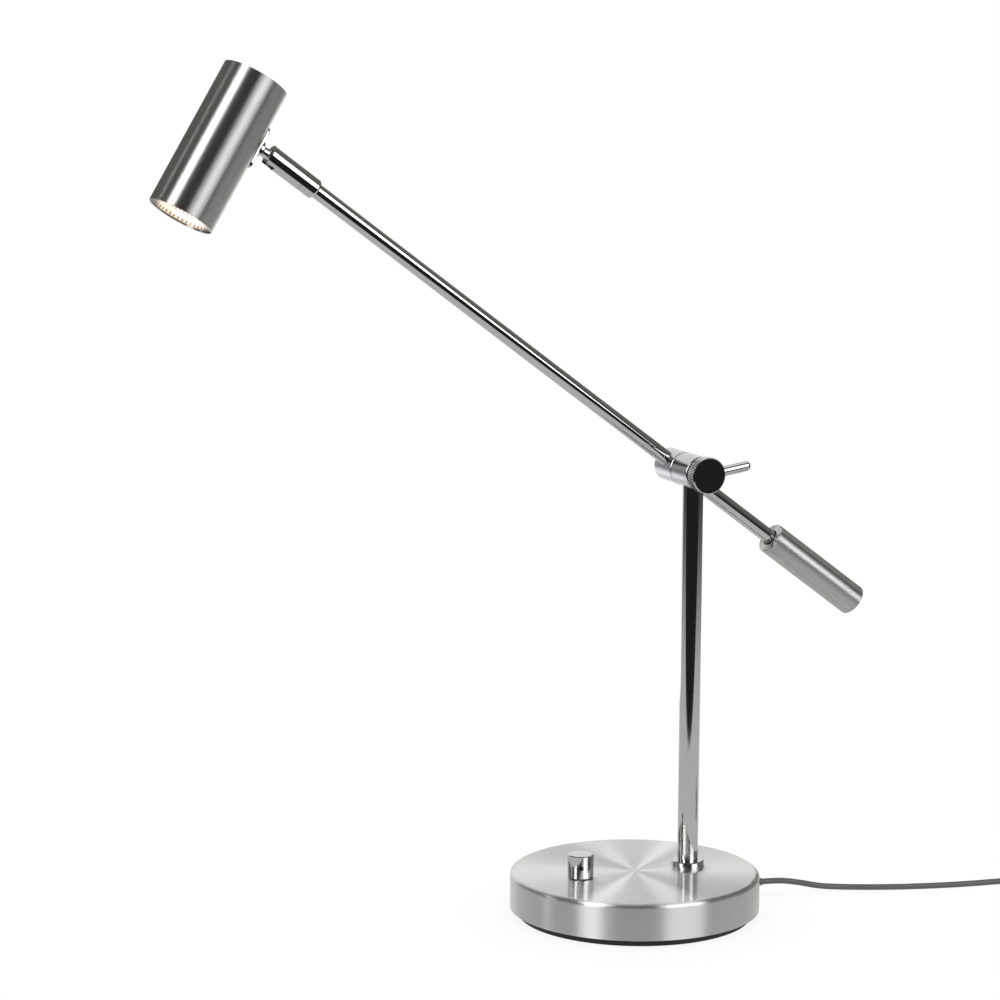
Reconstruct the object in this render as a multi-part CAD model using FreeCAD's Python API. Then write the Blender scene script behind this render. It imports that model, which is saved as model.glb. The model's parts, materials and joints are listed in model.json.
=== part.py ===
"""Counterweight balance desk lamp: a round base with a dimmer, a pole, a tilting arm and a spot head.

Millimetres. The origin is the centre of the base on the table, +Z is up, +X runs from the dimmer
knob to the pole, and the clamp knob at the top of the pole faces -Y. The head hangs at -X.
"""

import FreeCAD
import Part
from math import asin, cos, hypot, pi, radians, sin, sqrt, tan
import os

V = FreeCAD.Vector
X, Y, Z = V(1, 0, 0), V(0, 1, 0), V(0, 0, 1)

# Clearances
RUN = 0.06          # radial, a pin or a ball in its bore
FACE = 0.1          # between two flat faces that turn on each other
FREE = 0.3          # between pieces that only pass each other

# Base
BASE_R = 100.0
BASE_TOP = 35.0
COVER_EDGE = 3.5
COVER_WALL = 2.0
PAD_INSET = 6.2
PAD_H = 6.0
PLATE_T = 2.0
WEIGHT_CLEAR = 1.5
WEIGHT_H = 12.0
BOSS_R = 16.0
PLATE_SCREW_INSET = 18.0
PLATE_SCREW_R = 2.0
PLATE_SCREW_GRIP = 8.0
POLE_INSET = 52.4   # pole axis from its side of the base
DIMMER_INSET = 51.5  # dimmer axis from the opposite side

# Pole and its fixing
POLE_R = 8.25
POLE_WALL = 1.5
COLLAR_R = 13.1
COLLAR_H = 4.3
NIPPLE_R = 5.0
NIPPLE_BORE_R = 2.8
FOOT_PLUG_H = 16.0
NUT_POCKET_R = 12.0
NUT_POCKET_H = 6.0
LEAD_R = 2.5

# Dimmer
DIMMER_KNOB_R = 10.4
DIMMER_KNOB_H = 18.5
DIMMER_KNOB_EDGE = 0.6
DIMMER_SHAFT_R = 3.0
DIMMER_BUSH_R = 4.0
DIMMER_WASHER_T = 0.6
DIMMER_NUT_T = 2.8
DIMMER_BOX = V(44.0, 34.0, 20.0)
SET_SCREW_R = 1.5
SET_SCREW_SINK = 0.7     # width and depth of the countersink
SET_SCREW_DEEP = 0.9     # from the knob's side to the screw's end
SET_SCREW_AZ = -113.0
SET_SCREW_UP = 9.3
DIMMER_POCKET = 3.0

# Barrel at the top of the pole, along Y
BARREL_Z = 356.1
BARREL_R = 13.45
HEAD_FRONT_Y = -13.5
HEAD_REAR_Y = 12.9
SEAM_WASHER_T = 0.5
SEAM_WASHER_R = 11.8
HUB_REAR_Y = 41.5
DRUM_EDGE = 0.5
STUD_R = 4.0
STUD_HEAD_R = 7.0
STUD_HEAD_T = 2.8
DISC_SPRING_T = 0.8
HUB_WALL_T = 3.8
HUB_BORE_R = 7.6
HUB_CAP_T = 3.0
KNOB_R = 14.6
KNOB_FACE_R = 13.7
KNOB_FRONT_Y = -27.5
KNOB_REAR_Y = -15.0
KNURLS = 72
KNURL_DEPTH = 0.35
LEVER_R = 4.0
LEVER_REACH = 39.4
LEVER_UP = 8.3
LEVER_TIP_R = 3.0

# Arm and counterweight: s is measured from the barrel axis, positive towards the head
ARM_UP = 36.4
ARM_Y = 27.5
ARM_R = 6.0
ARM_WALL = 1.2
ARM_REAR_S = -197.0
ARM_FRONT_S = 395.0
WEIGHT_BAR_R = 12.85
WEIGHT_BAR_FRONT_S = -106.9
WEIGHT_BAR_REAR_S = -204.5
WEIGHT_BAR_EDGE = 0.8
WEIGHT_RECESS_R = 7.2
WEIGHT_RECESS_T = 3.0

# Knuckle between the arm and the head
KNUCKLE_R = 8.2
SLEEVE_REAR_S = 385.3
SLEEVE_EDGE = 2.1
SEAM_S = 399.2
SEAM_GAP = 0.3
SPIGOT_R = 6.2
SPIGOT_LEN = 8.0
SPIGOT_BORE_R = 4.3
BALL_S = 426.0
BALL_R = 6.0
HOUSING_END_S = 431.5
NECK_R = 4.0
NECK_FLARE_R = 5.2
SLOT_HALF = 4.5
SLOT_START_S = 423.5
CUP_LEN = 6.0
HOUSING_ROLL = 4.24
NECK_DROP = 4.12

# Head: the neck runs along n, and z counts along the shade away from its opening
SHADE_OFFSET = 43.45    # ball centre to shade axis
SHADE_R = 26.15
SHADE_WALL = 1.0
SHADE_OPEN_Z = -75.1
SHADE_TOP_Z = 43.4
CAP_T = 3.0
STRIP_LEN = 35.0
STRIP_W = 10.0
STRIP_T = 1.5
FLANGE_R = 6.5
FLANGE_T = 2.0
STUB_R = 3.0
BRACKET_SCREW_Z = 13.5
BRACKET_SCREW_R = 1.5
BRACKET_SCREW_HEAD_R = 3.3
BRACKET_SCREW_HEAD_H = 2.3
HOLDER_SHEET_T = 1.5
HOLDER_R = 13.0
HOLDER_TOP_Z = 6.0
LAMP_FACE_Z = -74.2
LAMP_R = 24.9
LAMP_RIM_H = 3.0
LAMP_NECK_R = 11.0
LAMP_NECK_Z = -38.0
LAMP_GLASS_T = 1.3
LAMP_BASE_TOP_Z = -20.0

# Mains cord
CORD_D = 4.8
CORD_EXIT_Z = 13.0
RELIEF_OUT = 16.0
RELIEF_IN = 9.0
RELIEF_ROOT_R = 4.2
RELIEF_TIP_R = 3.0
GROMMET_FLANGE_R = 6.0
GROMMET_FLANGE_T = 1.8
BLOCK = V(16.0, 20.0, 16.0)
BLOCK_SCREW_R = 1.8
BLOCK_SCREW_DEPTH = 4.0
BLOCK_ROOM = 3.0
CORD_ROUTE = [
    V(116.0, 0.0, 13.0),
    V(132.0, -0.4, 12.6),
    V(150.0, -1.8, 9.2),
    V(168.0, -3.6, 4.4),
    V(188.0, -7.6, 2.4),
    V(214.0, -19.8, 2.4),
    V(246.0, -31.2, 2.4),
    V(284.0, -40.4, 2.4),
    V(322.0, -45.6, 2.4),
    V(349.0, -48.6, 2.4),
]
COIL_TURNS = 8.25
COIL_MEAN_R = 28.8
COIL_STEP = 6.1         # between neighbouring turns
COIL_LIFT = 5.35        # between the two layers
PLUG_W = 35.0
PLUG_LEN = 34.0
PLUG_BOOT_LEN = 30.0
PLUG_BOOT_R = 4.5
PIN_R = 2.0
PIN_LEN = 19.0
PIN_PITCH = 19.0

# Worked out from the sizes above
POLE_X = BASE_R - POLE_INSET
DIMMER_X = DIMMER_INSET - BASE_R
PLATE_TOP = PAD_H + PLATE_T
WEIGHT_TOP = PLATE_TOP + WEIGHT_H
COVER_UNDER = BASE_TOP - COVER_WALL
COVER_IN_R = BASE_R - COVER_WALL
PAD_R = BASE_R - PAD_INSET
WEIGHT_R = COVER_IN_R - WEIGHT_CLEAR
RELIEF_TIP_X = BASE_R + RELIEF_OUT
RELIEF_INNER_X = BASE_R - RELIEF_IN
BLOCK_END_X = RELIEF_INNER_X - 5.0
BLOCK_AT = V(BLOCK_END_X - BLOCK.x / 2, 0, PLATE_TOP)
POLE_AT = V(POLE_X, 0, 0)
DIMMER_AT = V(DIMMER_X, 0, 0)
HUB_FRONT_Y = HEAD_REAR_Y + SEAM_WASHER_T + FACE
HUB_WALL_REAR_Y = HUB_FRONT_Y + HUB_WALL_T
STUD_HEAD_Y = HUB_WALL_REAR_Y + FACE + DISC_SPRING_T
POLE_TOP_Z = BARREL_Z - STUD_R - 2.0
ARM_AT = V(POLE_X, ARM_Y, BARREL_Z)
ARM_DIR = V(-cos(radians(ARM_UP)), 0, sin(radians(ARM_UP)))
BALL_AT = ARM_AT + ARM_DIR * BALL_S
SHADE_NEAR = SHADE_OFFSET - SHADE_R
STRIP_BACK = SHADE_NEAR - FREE
STRIP_FRONT = STRIP_BACK - STRIP_T
HOLDER_FRONT = SHADE_NEAR + SHADE_WALL + 0.7
HOLDER_BACK = HOLDER_FRONT + HOLDER_SHEET_T
COIL_R_SPAN = COIL_STEP * (COIL_TURNS - 0.5) / 2
CORD_Z = CORD_D / 2
PLUG_Z = CORD_Z + COIL_LIFT


def cylinder(start, direction, radius, length):
    return Part.makeCylinder(radius, length, start, direction)


def ring(start, direction, radius, bore, length):
    return cylinder(start, direction, radius, length).cut(cylinder(start, direction, bore, length))


def cone(start, direction, radius_1, radius_2, length):
    return Part.makeCone(radius_1, radius_2, length, start, direction)


def box(low, high):
    size = high - low
    return Part.makeBox(size.x, size.y, size.z, low)


def hexagon(centre, direction, across_flats, length):
    radius = across_flats / sqrt(3)
    turn = FreeCAD.Rotation(Z, direction)
    corners = [centre + turn.multVec(V(radius * cos(k * pi / 3), radius * sin(k * pi / 3), 0))
               for k in range(6)]
    face = Part.Face(Part.makePolygon(corners + corners[:1]))
    return face.extrude(direction * length)


def revolve(points, start, direction):
    """Turn a closed outline of (radius, height) points about the line from start along direction."""
    outline = [V(radius, 0, height) for radius, height in points]
    solid = Part.Face(Part.makePolygon(outline + outline[:1])).revolve(V(0, 0, 0), Z, 360)
    solid.Placement = FreeCAD.Placement(start, FreeCAD.Rotation(Z, direction))
    return solid


def fuse(first, *others):
    return first.fuse(list(others)).removeSplitter()


def turned_bar(start, direction, radius, length, edge):
    """A bar with a small chamfer at each end."""
    return revolve([(0, 0), (radius - edge, 0), (radius, edge), (radius, length - edge),
                    (radius - edge, length), (0, length)], start, direction)


def on_arm(shape):
    """Tilt a shape, drawn with the arm level and the head at -X, to the arm's rest angle."""
    placed = shape.copy()
    placed.rotate(ARM_AT, Y, ARM_UP)
    return placed


def on_housing(shape):
    placed = on_arm(shape)
    placed.rotate(BALL_AT, ARM_DIR, HOUSING_ROLL)
    return placed


def on_head(shape):
    """Place a shape drawn about the ball centre, with the neck along -X and the opening down."""
    placed = shape.copy()
    placed.rotate(V(0, 0, 0), Y, ARM_UP - NECK_DROP)
    placed.rotate(V(0, 0, 0), ARM_DIR, HOUSING_ROLL)
    placed.translate(BALL_AT)
    return placed


def arm_point(s):
    return ARM_AT - X * s


# ---- Base ----

def plate_screw_points():
    reach = COVER_IN_R - PLATE_SCREW_INSET
    return [V(reach * cos(radians(a)), reach * sin(radians(a)), 0) for a in (60, 180, 300)]


def base_cover():
    edge = COVER_EDGE
    inner = edge - COVER_WALL
    corner = V(BASE_R - edge, 0, BASE_TOP - edge)
    diagonal = V(sin(pi / 4), 0, sin(pi / 4))
    outer_arc = Part.Arc(corner + Z * edge, corner + diagonal * edge, corner + X * edge).toShape()
    inner_arc = Part.Arc(corner + X * inner, corner + diagonal * inner, corner + Z * inner).toShape()
    lines = [
        Part.makeLine(V(0, 0, COVER_UNDER), V(0, 0, BASE_TOP)),
        Part.makeLine(V(0, 0, BASE_TOP), corner + Z * edge),
        outer_arc,
        Part.makeLine(corner + X * edge, V(BASE_R, 0, PAD_H)),
        Part.makeLine(V(BASE_R, 0, PAD_H), V(COVER_IN_R, 0, PAD_H)),
        Part.makeLine(V(COVER_IN_R, 0, PAD_H), corner + X * inner),
        inner_arc,
        Part.makeLine(corner + Z * inner, V(0, 0, COVER_UNDER)),
    ]
    shell = Part.Face(Part.Wire(lines)).revolve(V(0, 0, 0), Z, 360)
    holes = [
        cylinder(POLE_AT + Z * COVER_UNDER, Z, NIPPLE_R, COVER_WALL),
        cylinder(DIMMER_AT + Z * COVER_UNDER, Z, DIMMER_BUSH_R, COVER_WALL),
        cylinder(V(COVER_IN_R - 5, 0, CORD_EXIT_Z), X, RELIEF_ROOT_R, COVER_WALL + 10),
    ]
    return shell.cut(holes)


def base_weight():
    disc = cylinder(Z * PLATE_TOP, Z, WEIGHT_R, WEIGHT_H)
    boss = cylinder(POLE_AT + Z * WEIGHT_TOP, Z, BOSS_R, COVER_UNDER - WEIGHT_TOP)
    casting = fuse(disc, boss)
    room = V(DIMMER_BOX.x / 2 + DIMMER_POCKET, DIMMER_BOX.y / 2 + DIMMER_POCKET, 0)
    block_room = BLOCK * 0.5 + V(BLOCK_ROOM, BLOCK_ROOM, 0)
    cuts = [
        box(DIMMER_AT - room + Z * PLATE_TOP, DIMMER_AT + room + Z * WEIGHT_TOP),
        cylinder(POLE_AT + Z * PLATE_TOP, Z, NUT_POCKET_R, NUT_POCKET_H),
        cylinder(POLE_AT + Z * PLATE_TOP, Z, NIPPLE_R, COVER_UNDER),
        box(V(BLOCK_AT.x - block_room.x, -block_room.y, PLATE_TOP),
            V(BASE_R, block_room.y, WEIGHT_TOP)),
    ]
    cuts += [cylinder(p + Z * PLATE_TOP, Z, PLATE_SCREW_R, PLATE_SCREW_GRIP)
             for p in plate_screw_points()]
    return casting.cut(cuts)


def plate_screw(at):
    head = cone(at + Z * PAD_H, Z, 2 * PLATE_SCREW_R, PLATE_SCREW_R, PLATE_T)
    socket = hexagon(at + Z * PAD_H, Z, 2.5, 1.2)
    shank = cylinder(at + Z * PLATE_TOP, Z, PLATE_SCREW_R, PLATE_SCREW_GRIP)
    return fuse(head, shank).cut(socket)


def bottom_plate():
    plate = cylinder(Z * PAD_H, Z, COVER_IN_R - FREE, PLATE_T)
    seats = [cone(p + Z * PAD_H, Z, 2 * PLATE_SCREW_R, PLATE_SCREW_R, PLATE_T)
             for p in plate_screw_points()]
    return plate.cut(seats)


def foot_pad():
    return turned_bar(V(0, 0, 0), Z, PAD_R, PAD_H, 0.6)


def cord_relief():
    """Grommet in the cover's wall with the tapered sleeve that guards the cord outside it."""
    axis = V(0, 0, CORD_EXIT_Z)
    root = cylinder(axis + X * RELIEF_INNER_X, X, RELIEF_ROOT_R, BASE_R - RELIEF_INNER_X)
    inner_at = COVER_IN_R - GROMMET_FLANGE_T - 0.4
    inner_flange = cylinder(axis + X * inner_at, X, GROMMET_FLANGE_R - 1, GROMMET_FLANGE_T)
    outer_flange = cylinder(axis + X * BASE_R, X, GROMMET_FLANGE_R, GROMMET_FLANGE_T)
    sleeve = cone(axis + X * BASE_R, X, RELIEF_ROOT_R, RELIEF_TIP_R, RELIEF_TIP_X - BASE_R)
    return fuse(root, inner_flange, outer_flange, sleeve)


def terminal_block():
    half = V(BLOCK.x / 2, BLOCK.y / 2, 0)
    block = box(BLOCK_AT - half, BLOCK_AT + half + Z * BLOCK.z)
    wells = [BLOCK_AT + V(x * BLOCK.x / 4, y * BLOCK.y / 4, BLOCK.z - BLOCK_SCREW_DEPTH)
             for x in (-1, 1) for y in (-1, 1)]
    return block.cut([cylinder(p, Z, BLOCK_SCREW_R, BLOCK_SCREW_DEPTH) for p in wells])


def inner_mains_lead():
    start = V(BLOCK_END_X, 0, CORD_EXIT_Z)
    return cylinder(start, X, LEAD_R, RELIEF_INNER_X - start.x)


def dimmer_lead():
    """From the terminal block round the pole's boss to the dimmer, on top of the weight."""
    level = WEIGHT_TOP + LEAD_R + 0.2
    side = BLOCK.y / 2
    out = BOSS_R + 14
    case_side = DIMMER_AT.x + DIMMER_BOX.x / 2
    route = [V(BLOCK_AT.x, side, level), V(BLOCK_AT.x, side + 12, level),
             V(POLE_AT.x + 10, out, level), V(POLE_AT.x - 28, out, level),
             V(case_side + 22, out - 8, level), V(case_side + 16, side, level),
             V(case_side, side, level)]
    return tube_along(route, LEAD_R, "dimmer lead")


# ---- Dimmer ----

def dimmer_knob():
    bottom = DIMMER_AT + Z * (BASE_TOP + DIMMER_WASHER_T)
    radius, edge = DIMMER_KNOB_R, DIMMER_KNOB_EDGE
    height = DIMMER_KNOB_H
    knob = revolve([(0, 0), (radius - 0.3, 0), (radius, 0.3), (radius, height - edge),
                    (radius - edge, height), (0, height)], bottom, Z)
    recess = cylinder(bottom, Z, 7.8, 5.4)
    bore = cylinder(bottom, Z, DIMMER_SHAFT_R, height - 3)
    return knob.cut([recess, bore, set_screw_hole()])


def set_screw_frame():
    outward = V(cos(radians(SET_SCREW_AZ)), sin(radians(SET_SCREW_AZ)), 0)
    return DIMMER_AT + Z * (BASE_TOP + SET_SCREW_UP), outward


def set_screw_hole():
    centre, outward = set_screw_frame()
    hole = cylinder(centre, outward, SET_SCREW_R, DIMMER_KNOB_R + 1)
    sink_at = centre + outward * (DIMMER_KNOB_R - SET_SCREW_SINK)
    sink = cone(sink_at, outward, SET_SCREW_R, SET_SCREW_R + 2 * SET_SCREW_SINK, 2 * SET_SCREW_SINK)
    return fuse(hole, sink)


def dimmer_set_screw():
    centre, outward = set_screw_frame()
    length = DIMMER_KNOB_R - SET_SCREW_DEEP - DIMMER_SHAFT_R
    body = cylinder(centre + outward * DIMMER_SHAFT_R, outward, SET_SCREW_R, length)
    socket = hexagon(centre + outward * (DIMMER_SHAFT_R + length - 2), outward, 1.5, 2)
    return body.cut(socket)


def dimmer_body():
    half = V(DIMMER_BOX.x / 2, DIMMER_BOX.y / 2, 0)
    low = DIMMER_AT - half + Z * (COVER_UNDER - DIMMER_BOX.z)
    high = DIMMER_AT + half + Z * COVER_UNDER
    case = box(low, high)
    case = case.makeChamfer(1.5, [e for e in case.Edges if abs(e.tangentAt(e.FirstParameter).z) > 0.9])
    bush_len = COVER_WALL + DIMMER_WASHER_T + DIMMER_NUT_T + DIMMER_WASHER_T
    bush = cylinder(DIMMER_AT + Z * COVER_UNDER, Z, DIMMER_BUSH_R, bush_len)
    bore = cylinder(DIMMER_AT + Z * (COVER_UNDER - 12), Z, DIMMER_SHAFT_R + RUN, 30)
    return fuse(case, bush).cut(bore)


def dimmer_shaft():
    bottom = COVER_UNDER - 12 + FREE
    top = BASE_TOP + DIMMER_WASHER_T + DIMMER_KNOB_H - 3
    return cylinder(DIMMER_AT + Z * bottom, Z, DIMMER_SHAFT_R, top - bottom)


def dimmer_nut():
    at = DIMMER_AT + Z * (BASE_TOP + DIMMER_WASHER_T)
    bore = cylinder(at, Z, DIMMER_BUSH_R, DIMMER_NUT_T)
    return hexagon(at, Z, 12, DIMMER_NUT_T).cut(bore)


def dimmer_washer():
    return ring(DIMMER_AT + Z * BASE_TOP, Z, 6.8, DIMMER_BUSH_R, DIMMER_WASHER_T)


# ---- Pole ----

def pole_tube():
    return ring(POLE_AT + Z * BASE_TOP, Z, POLE_R, POLE_R - POLE_WALL, POLE_TOP_Z - BASE_TOP)


def pole_collar():
    height, edge = COLLAR_H, 0.7
    return revolve([(POLE_R, 0), (COLLAR_R, 0), (COLLAR_R, height - edge), (COLLAR_R - edge, height),
                    (POLE_R, height)], POLE_AT + Z * BASE_TOP, Z)


def pole_foot_plug():
    return ring(POLE_AT + Z * BASE_TOP, Z, POLE_R - POLE_WALL, NIPPLE_R, FOOT_PLUG_H)


def pole_nipple():
    bottom = PLATE_TOP + 0.8
    return ring(POLE_AT + Z * bottom, Z, NIPPLE_R, NIPPLE_BORE_R, BASE_TOP + FOOT_PLUG_H - bottom)


def pole_washer():
    top = PLATE_TOP + NUT_POCKET_H
    return ring(POLE_AT + Z * (top - 1.5), Z, 10, NIPPLE_R, 1.5)


def pole_nut():
    top = PLATE_TOP + NUT_POCKET_H - 1.5
    at = POLE_AT + Z * (top - 3.2)
    return hexagon(at, Z, 15, 3.2).cut(cylinder(at, Z, NIPPLE_R, 3.2))


def pole_lead():
    bottom = PLATE_TOP + 0.8
    return cylinder(POLE_AT + Z * bottom, Z, LEAD_R, POLE_TOP_Z - 4 - bottom)


# ---- Barrel ----

def barrel_point(y):
    return V(POLE_X, y, BARREL_Z)


def pole_head():
    drum = turned_bar(barrel_point(HEAD_FRONT_Y), Y, BARREL_R, HEAD_REAR_Y - HEAD_FRONT_Y, DRUM_EDGE)
    socket = cylinder(V(POLE_X, 0, BARREL_Z - 30), Z, POLE_R, POLE_TOP_Z - BARREL_Z + 30)
    wire_way = cylinder(V(POLE_X, 0, POLE_TOP_Z), Z, LEAD_R, BARREL_Z - POLE_TOP_Z)
    stud_bore = cylinder(barrel_point(HEAD_FRONT_Y), Y, STUD_R, 60)
    return drum.cut([socket, wire_way, stud_bore])


def pivot_stud():
    """Hollow stud: keyed in the pole head, it holds the hub at the rear and the knob in front."""
    front = KNOB_REAR_Y - 9.0
    shank = cylinder(barrel_point(front), Y, STUD_R, STUD_HEAD_Y - front)
    head = cylinder(barrel_point(STUD_HEAD_Y), Y, STUD_HEAD_R, STUD_HEAD_T)
    bore = cylinder(barrel_point(-LEAD_R), Y, STUD_R - 1.4, 40)
    side_hole = cylinder(barrel_point(0) - Z * (STUD_R + 2), Z, STUD_R - 1.4, STUD_R + 2)
    return fuse(shank, head).cut([bore, side_hole])


def seam_washer():
    return ring(barrel_point(HEAD_REAR_Y), Y, SEAM_WASHER_R, STUD_R + RUN, SEAM_WASHER_T)


def disc_spring():
    at = barrel_point(HUB_WALL_REAR_Y + FACE)
    return ring(at, Y, STUD_HEAD_R - 0.4, STUD_R, DISC_SPRING_T)


def clamp_washer():
    at = barrel_point(KNOB_REAR_Y + FACE)
    return ring(at, Y, BARREL_R - 1.6, STUD_R, HEAD_FRONT_Y - KNOB_REAR_Y - FACE)


def arm_hub():
    drum = turned_bar(barrel_point(HUB_FRONT_Y), Y, BARREL_R, HUB_REAR_Y - HUB_FRONT_Y, DRUM_EDGE)
    cuts = [
        cylinder(barrel_point(HUB_FRONT_Y - 1), Y, STUD_R + RUN, 10),
        cylinder(barrel_point(HUB_WALL_REAR_Y), Y, HUB_BORE_R, 40),
        on_arm(cylinder(arm_point(-30), -X, ARM_R, 60)),
    ]
    return drum.cut(cuts)


def hub_end_cap():
    at = barrel_point(HUB_REAR_Y - HUB_CAP_T)
    return ring(at, Y, HUB_BORE_R, 2.5, HUB_CAP_T)


def arm_grub_screw():
    front = ARM_Y + ARM_R
    body = cylinder(barrel_point(front), Y, 2.5, HUB_REAR_Y - 0.6 - front)
    return body.cut(hexagon(barrel_point(HUB_REAR_Y - 3), Y, 2.5, 3))


def clamp_knob():
    """Knurled knob, threaded on the stud, with a polished bevel round its flat face."""
    length = KNOB_REAR_Y - KNOB_FRONT_Y
    corners = []
    for k in range(2 * KNURLS):
        radius = KNOB_R if k % 2 else KNOB_R - KNURL_DEPTH
        angle = k * pi / KNURLS
        corners.append(barrel_point(KNOB_FRONT_Y) + V(radius * cos(angle), 0, radius * sin(angle)))
    knurled = Part.Face(Part.makePolygon(corners + corners[:1])).extrude(Y * length)
    bevel = KNOB_R - KNOB_FACE_R
    blank = revolve([(0, 0), (KNOB_FACE_R, 0), (KNOB_R, bevel), (KNOB_R, length - 0.4),
                     (KNOB_R - 0.5, length), (0, length)], barrel_point(KNOB_FRONT_Y), Y)
    centre, outward = lever_frame()
    cuts = [
        cylinder(barrel_point(KNOB_REAR_Y - 9.5), Y, STUD_R + RUN, 20),
        cylinder(centre + outward * 7, outward, 2.5, 20),
        cylinder(centre + outward * (KNOB_FACE_R - 0.5), outward, LEVER_R, 10),
    ]
    return blank.common(knurled).cut(cuts)


def lever_frame():
    outward = V(cos(radians(LEVER_UP)), 0, sin(radians(LEVER_UP)))
    return barrel_point((KNOB_FRONT_Y + KNOB_REAR_Y) / 2), outward


def clamp_lever():
    centre, outward = lever_frame()
    root = KNOB_FACE_R - 0.5
    pin = cylinder(centre + outward * root, outward, LEVER_R, LEVER_REACH - root)
    tip_edges = [e for e in pin.Edges
                 if abs((e.CenterOfMass - centre).dot(outward) - LEVER_REACH) < 0.01]
    pin = pin.makeFillet(LEVER_TIP_R, tip_edges)
    stub = cylinder(centre + outward * 7.3, outward, 2.5, root - 7.3)
    return fuse(pin, stub)


# ---- Arm ----

def arm_tube():
    tube = ring(arm_point(ARM_REAR_S), -X, ARM_R, ARM_R - ARM_WALL, ARM_FRONT_S - ARM_REAR_S)
    wire_hole = cylinder(arm_point(0) - Y * (ARM_R + 1), Y, LEAD_R, ARM_R + 1)
    return on_arm(tube.cut(wire_hole))


def arm_lead():
    side = ARM_R - ARM_WALL - LEAD_R - FREE
    return on_arm(cylinder(arm_point(8) - Z * side, -X, LEAD_R - 0.3, ARM_FRONT_S - 10))


def counterweight():
    length = WEIGHT_BAR_FRONT_S - WEIGHT_BAR_REAR_S
    bar = turned_bar(arm_point(WEIGHT_BAR_REAR_S), -X, WEIGHT_BAR_R, length, WEIGHT_BAR_EDGE)
    cuts = [
        cylinder(arm_point(ARM_REAR_S), -X, ARM_R, length),
        cylinder(arm_point(WEIGHT_BAR_FRONT_S - WEIGHT_RECESS_T), -X, WEIGHT_RECESS_R, 10),
        weight_screw_hole(),
    ]
    return on_arm(bar.cut(cuts))


def weight_screw_hole():
    return cylinder(arm_point(WEIGHT_BAR_REAR_S + 18) + Y * ARM_R, Y, 2.0, WEIGHT_BAR_R)


def counterweight_grub_screw():
    at = arm_point(WEIGHT_BAR_REAR_S + 18) + Y * ARM_R
    body = cylinder(at, Y, 2.0, 5)
    return on_arm(body.cut(hexagon(at + Y * 3, Y, 2.0, 2)))


# ---- Knuckle ----

def knuckle_sleeve():
    body = cylinder(arm_point(SLEEVE_REAR_S), -X, KNUCKLE_R, SEAM_S - SLEEVE_REAR_S)
    rear = arm_point(SLEEVE_REAR_S).x
    rear_edges = [e for e in body.Edges if abs(e.CenterOfMass.x - rear) < 0.01]
    body = body.makeFillet(SLEEVE_EDGE, rear_edges)
    spigot = cylinder(arm_point(SEAM_S), -X, SPIGOT_R, SPIGOT_LEN)
    cuts = [
        cylinder(arm_point(SLEEVE_REAR_S), -X, ARM_R, ARM_FRONT_S - SLEEVE_REAR_S),
        cylinder(arm_point(ARM_FRONT_S), -X, SPIGOT_BORE_R, 30),
    ]
    return on_arm(fuse(body, spigot).cut(cuts))


def knuckle_housing():
    start = SEAM_S + SEAM_GAP
    body = cylinder(arm_point(start), -X, KNUCKLE_R, HOUSING_END_S - start)
    bore_r = SPIGOT_R + RUN
    low = V(arm_point(HOUSING_END_S + 1).x, ARM_Y - SLOT_HALF, BARREL_Z - KNUCKLE_R - 1)
    high = V(arm_point(SLOT_START_S).x, ARM_Y + SLOT_HALF, BARREL_Z)
    cuts = [
        cylinder(arm_point(start), -X, bore_r, BALL_S - start),
        Part.makeSphere(bore_r, arm_point(BALL_S)),
        cylinder(arm_point(BALL_S), -X, SLOT_HALF, 20),
        box(low, high),
    ]
    return on_housing(body.cut(cuts))


def ball_cup():
    """Cup that presses on the back of the ball."""
    back = BALL_S - 3.0 - CUP_LEN
    cup = ring(arm_point(back), -X, SPIGOT_R - 0.1, 3.0, CUP_LEN)
    seat = Part.makeSphere(BALL_R + 0.2, arm_point(BALL_S))
    return on_housing(cup.cut(seat))


def ball_spring():
    start = SEAM_S + SPIGOT_LEN + 0.2
    length = BALL_S - 3.0 - CUP_LEN - start
    return on_housing(ring(arm_point(start), -X, SPIGOT_R - 0.3, 4.6, length))


# ---- Head, drawn about the ball centre ----

def ball_stem():
    flange_start = STRIP_FRONT - FACE - FLANGE_T
    ball = Part.makeSphere(BALL_R)
    neck = cylinder(V(0, 0, 0), -X, NECK_R, flange_start)
    flare = cone(-X * (flange_start - 2.0), -X, NECK_R, NECK_FLARE_R, 2.0)
    flange = cylinder(-X * flange_start, -X, FLANGE_R, FLANGE_T)
    stub = cylinder(-X * flange_start, -X, STUB_R, HOLDER_BACK + 4 - flange_start)
    bore = cylinder(X * 10, -X, 1.8, 60)
    return on_head(fuse(ball, neck, flare, flange, stub).cut(bore))


def stem_nut():
    at = -X * (HOLDER_BACK + FREE)
    return on_head(hexagon(at, -X, 8.0, 3.0).cut(cylinder(at, -X, STUB_R, 3.0)))


def head_strip():
    """Flat steel strip with round ends that carries the shade."""
    reach = STRIP_LEN / 2 - STRIP_W / 2
    low = V(-STRIP_BACK, -STRIP_W / 2, -reach)
    high = V(-STRIP_FRONT, STRIP_W / 2, reach)
    ends = [cylinder(V(-STRIP_FRONT, 0, z), -X, STRIP_W / 2, STRIP_T) for z in (-reach, reach)]
    holes = [cylinder(V(0, 0, 0), -X, STUB_R + RUN, 30)]
    holes += [cylinder(V(0, 0, z), -X, BRACKET_SCREW_R, 30) for z in (-BRACKET_SCREW_Z, BRACKET_SCREW_Z)]
    return on_head(fuse(box(low, high), *ends).cut(holes))


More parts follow.
